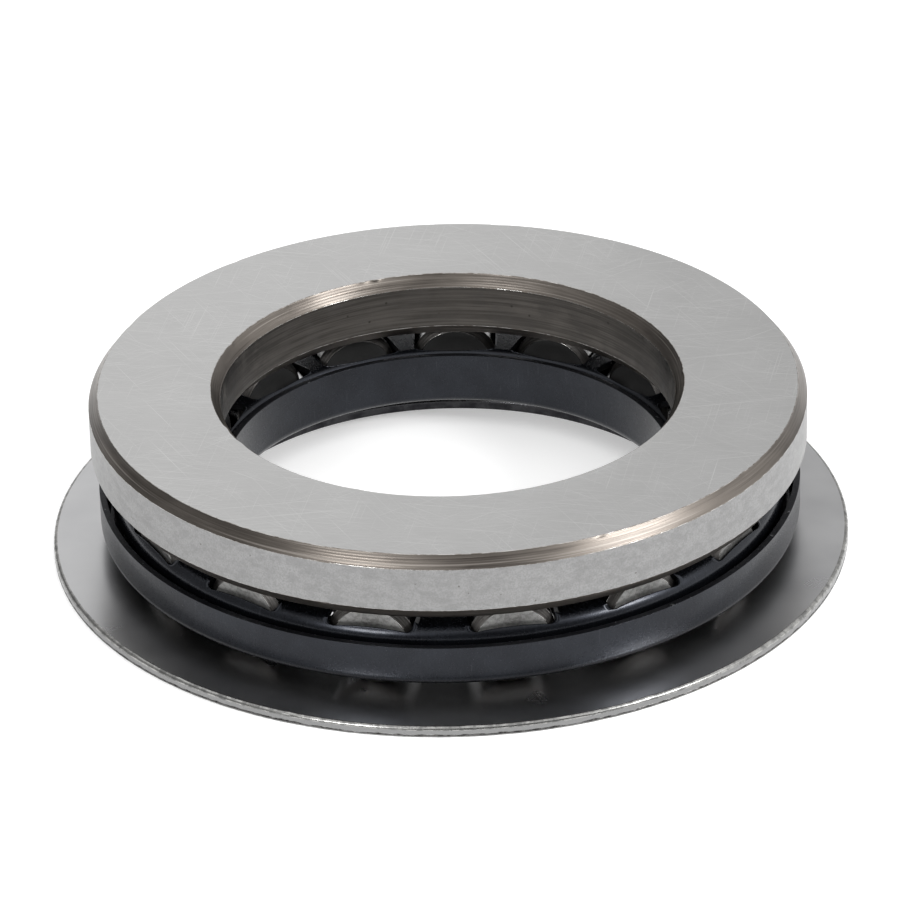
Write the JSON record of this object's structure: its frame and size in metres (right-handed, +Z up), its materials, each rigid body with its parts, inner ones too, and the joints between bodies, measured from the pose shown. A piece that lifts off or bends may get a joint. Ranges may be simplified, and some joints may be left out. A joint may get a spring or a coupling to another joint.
{
  "type": "cylindrical roller thrust bearing",
  "caption": "Single-direction thrust bearing: radial cylindrical rollers in a black pressed-steel box cage between a thick chamfered washer and a wider thin one.",
  "frame": {"origin": "on the bearing axis at the bottom face of the lower washer", "axes": "+Z up along the bearing axis, from the lower washer to the upper one"},
  "size_m": [0.1006, 0.1006, 0.0215],
  "materials": {
    "lower_washer": "hardened strip, lapped to a soft mirror, sheared rim",
    "upper_washer": "ground face with fine scratches, turned chamfers with a brown tint",
    "cage": "black oxide on pressed steel sheet, worn bright on the cut edges",
    "rollers": "ground flanks and satin end faces"
  },
  "bodies": {
    "lower_washer": {"lower_washer": "lower_washer"},
    "upper_washer": {"upper_washer": "upper_washer"},
    "cage": {"cage_lower_half": "cage", "cage_upper_half": "cage"},
    "roller_01": {"roller_01": "rollers"},
    "roller_02": {"roller_02": "rollers"},
    "roller_03": {"roller_03": "rollers"},
    "roller_04": {"roller_04": "rollers"},
    "roller_05": {"roller_05": "rollers"},
    "roller_06": {"roller_06": "rollers"},
    "roller_07": {"roller_07": "rollers"},
    "roller_08": {"roller_08": "rollers"},
    "roller_09": {"roller_09": "rollers"},
    "roller_10": {"roller_10": "rollers"},
    "roller_11": {"roller_11": "rollers"},
    "roller_12": {"roller_12": "rollers"},
    "roller_13": {"roller_13": "rollers"},
    "roller_14": {"roller_14": "rollers"},
    "roller_15": {"roller_15": "rollers"}
  },
  "joints": [
    {"name": "washer_spin", "type": "hinge", "parent": "lower_washer", "child": "upper_washer", "pos_m": [0, 0, 0.01724], "axis": [0, 0, 1], "continuous": true},
    {"name": "cage_spin", "type": "hinge", "parent": "lower_washer", "child": "cage", "pos_m": [0, 0, 0.00717], "axis": [0, 0, 1], "continuous": true},
    {"name": "roller_01_spin", "type": "hinge", "parent": "cage", "child": "roller_01", "pos_m": [0.03494, 0.01002, 0.00717], "axis": [0.9613, 0.2756, 0], "continuous": true},
    {"name": "roller_02_spin", "type": "hinge", "parent": "cage", "child": "roller_02", "pos_m": [0.02785, 0.02337, 0.00717], "axis": [0.766, 0.6428, 0], "continuous": true},
    {"name": "roller_03_spin", "type": "hinge", "parent": "cage", "child": "roller_03", "pos_m": [0.01593, 0.03267, 0.00717], "axis": [0.4384, 0.8988, 0], "continuous": true},
    {"name": "roller_04_spin", "type": "hinge", "parent": "cage", "child": "roller_04", "pos_m": [0.00127, 0.03633, 0.00717], "axis": [0.0349, 0.9994, 0], "continuous": true},
    {"name": "roller_05_spin", "type": "hinge", "parent": "cage", "child": "roller_05", "pos_m": [-0.01362, 0.0337, 0.00717], "axis": [-0.3746, 0.9272, 0], "continuous": true},
    {"name": "roller_06_spin", "type": "hinge", "parent": "cage", "child": "roller_06", "pos_m": [-0.02615, 0.02525, 0.00717], "axis": [-0.7193, 0.6947, 0], "continuous": true},
    {"name": "roller_07_spin", "type": "hinge", "parent": "cage", "child": "roller_07", "pos_m": [-0.03416, 0.01243, 0.00717], "axis": [-0.9397, 0.342, 0], "continuous": true},
    {"name": "roller_08_spin", "type": "hinge", "parent": "cage", "child": "roller_08", "pos_m": [-0.03626, -0.00254, 0.00717], "axis": [-0.9976, -0.0698, 0], "continuous": true},
    {"name": "roller_09_spin", "type": "hinge", "parent": "cage", "child": "roller_09", "pos_m": [-0.0321, -0.01707, 0.00717], "axis": [-0.8829, -0.4695, 0], "continuous": true},
    {"name": "roller_10_spin", "type": "hinge", "parent": "cage", "child": "roller_10", "pos_m": [-0.02238, -0.02864, 0.00717], "axis": [-0.6157, -0.788, 0], "continuous": true},
    {"name": "roller_11_spin", "type": "hinge", "parent": "cage", "child": "roller_11", "pos_m": [-0.00879, -0.03527, 0.00717], "axis": [-0.2419, -0.9703, 0], "continuous": true},
    {"name": "roller_12_spin", "type": "hinge", "parent": "cage", "child": "roller_12", "pos_m": [0.00631, -0.0358, 0.00717], "axis": [0.1736, -0.9848, 0], "continuous": true},
    {"name": "roller_13_spin", "type": "hinge", "parent": "cage", "child": "roller_13", "pos_m": [0.02033, -0.03014, 0.00717], "axis": [0.5592, -0.829, 0], "continuous": true},
    {"name": "roller_14_spin", "type": "hinge", "parent": "cage", "child": "roller_14", "pos_m": [0.03083, -0.01926, 0.00717], "axis": [0.848, -0.5299, 0], "continuous": true},
    {"name": "roller_15_spin", "type": "hinge", "parent": "cage", "child": "roller_15", "pos_m": [0.036, -0.00506, 0.00717], "axis": [0.9903, -0.1392, 0], "continuous": true}
  ],
  "couplings": [
    {"joint": "cage_spin", "follows": "washer_spin", "ratio": 0.5},
    {"joint": "roller_01_spin", "follows": "washer_spin", "ratio": -3.1609},
    {"joint": "roller_02_spin", "follows": "washer_spin", "ratio": -3.1609},
    {"joint": "roller_03_spin", "follows": "washer_spin", "ratio": -3.1609},
    {"joint": "roller_04_spin", "follows": "washer_spin", "ratio": -3.1609},
    {"joint": "roller_05_spin", "follows": "washer_spin", "ratio": -3.1609},
    {"joint": "roller_06_spin", "follows": "washer_spin", "ratio": -3.1609},
    {"joint": "roller_07_spin", "follows": "washer_spin", "ratio": -3.1609},
    {"joint": "roller_08_spin", "follows": "washer_spin", "ratio": -3.1609},
    {"joint": "roller_09_spin", "follows": "washer_spin", "ratio": -3.1609},
    {"joint": "roller_10_spin", "follows": "washer_spin", "ratio": -3.1609},
    {"joint": "roller_11_spin", "follows": "washer_spin", "ratio": -3.1609},
    {"joint": "roller_12_spin", "follows": "washer_spin", "ratio": -3.1609},
    {"joint": "roller_13_spin", "follows": "washer_spin", "ratio": -3.1609},
    {"joint": "roller_14_spin", "follows": "washer_spin", "ratio": -3.1609},
    {"joint": "roller_15_spin", "follows": "washer_spin", "ratio": -3.1609}
  ]
}
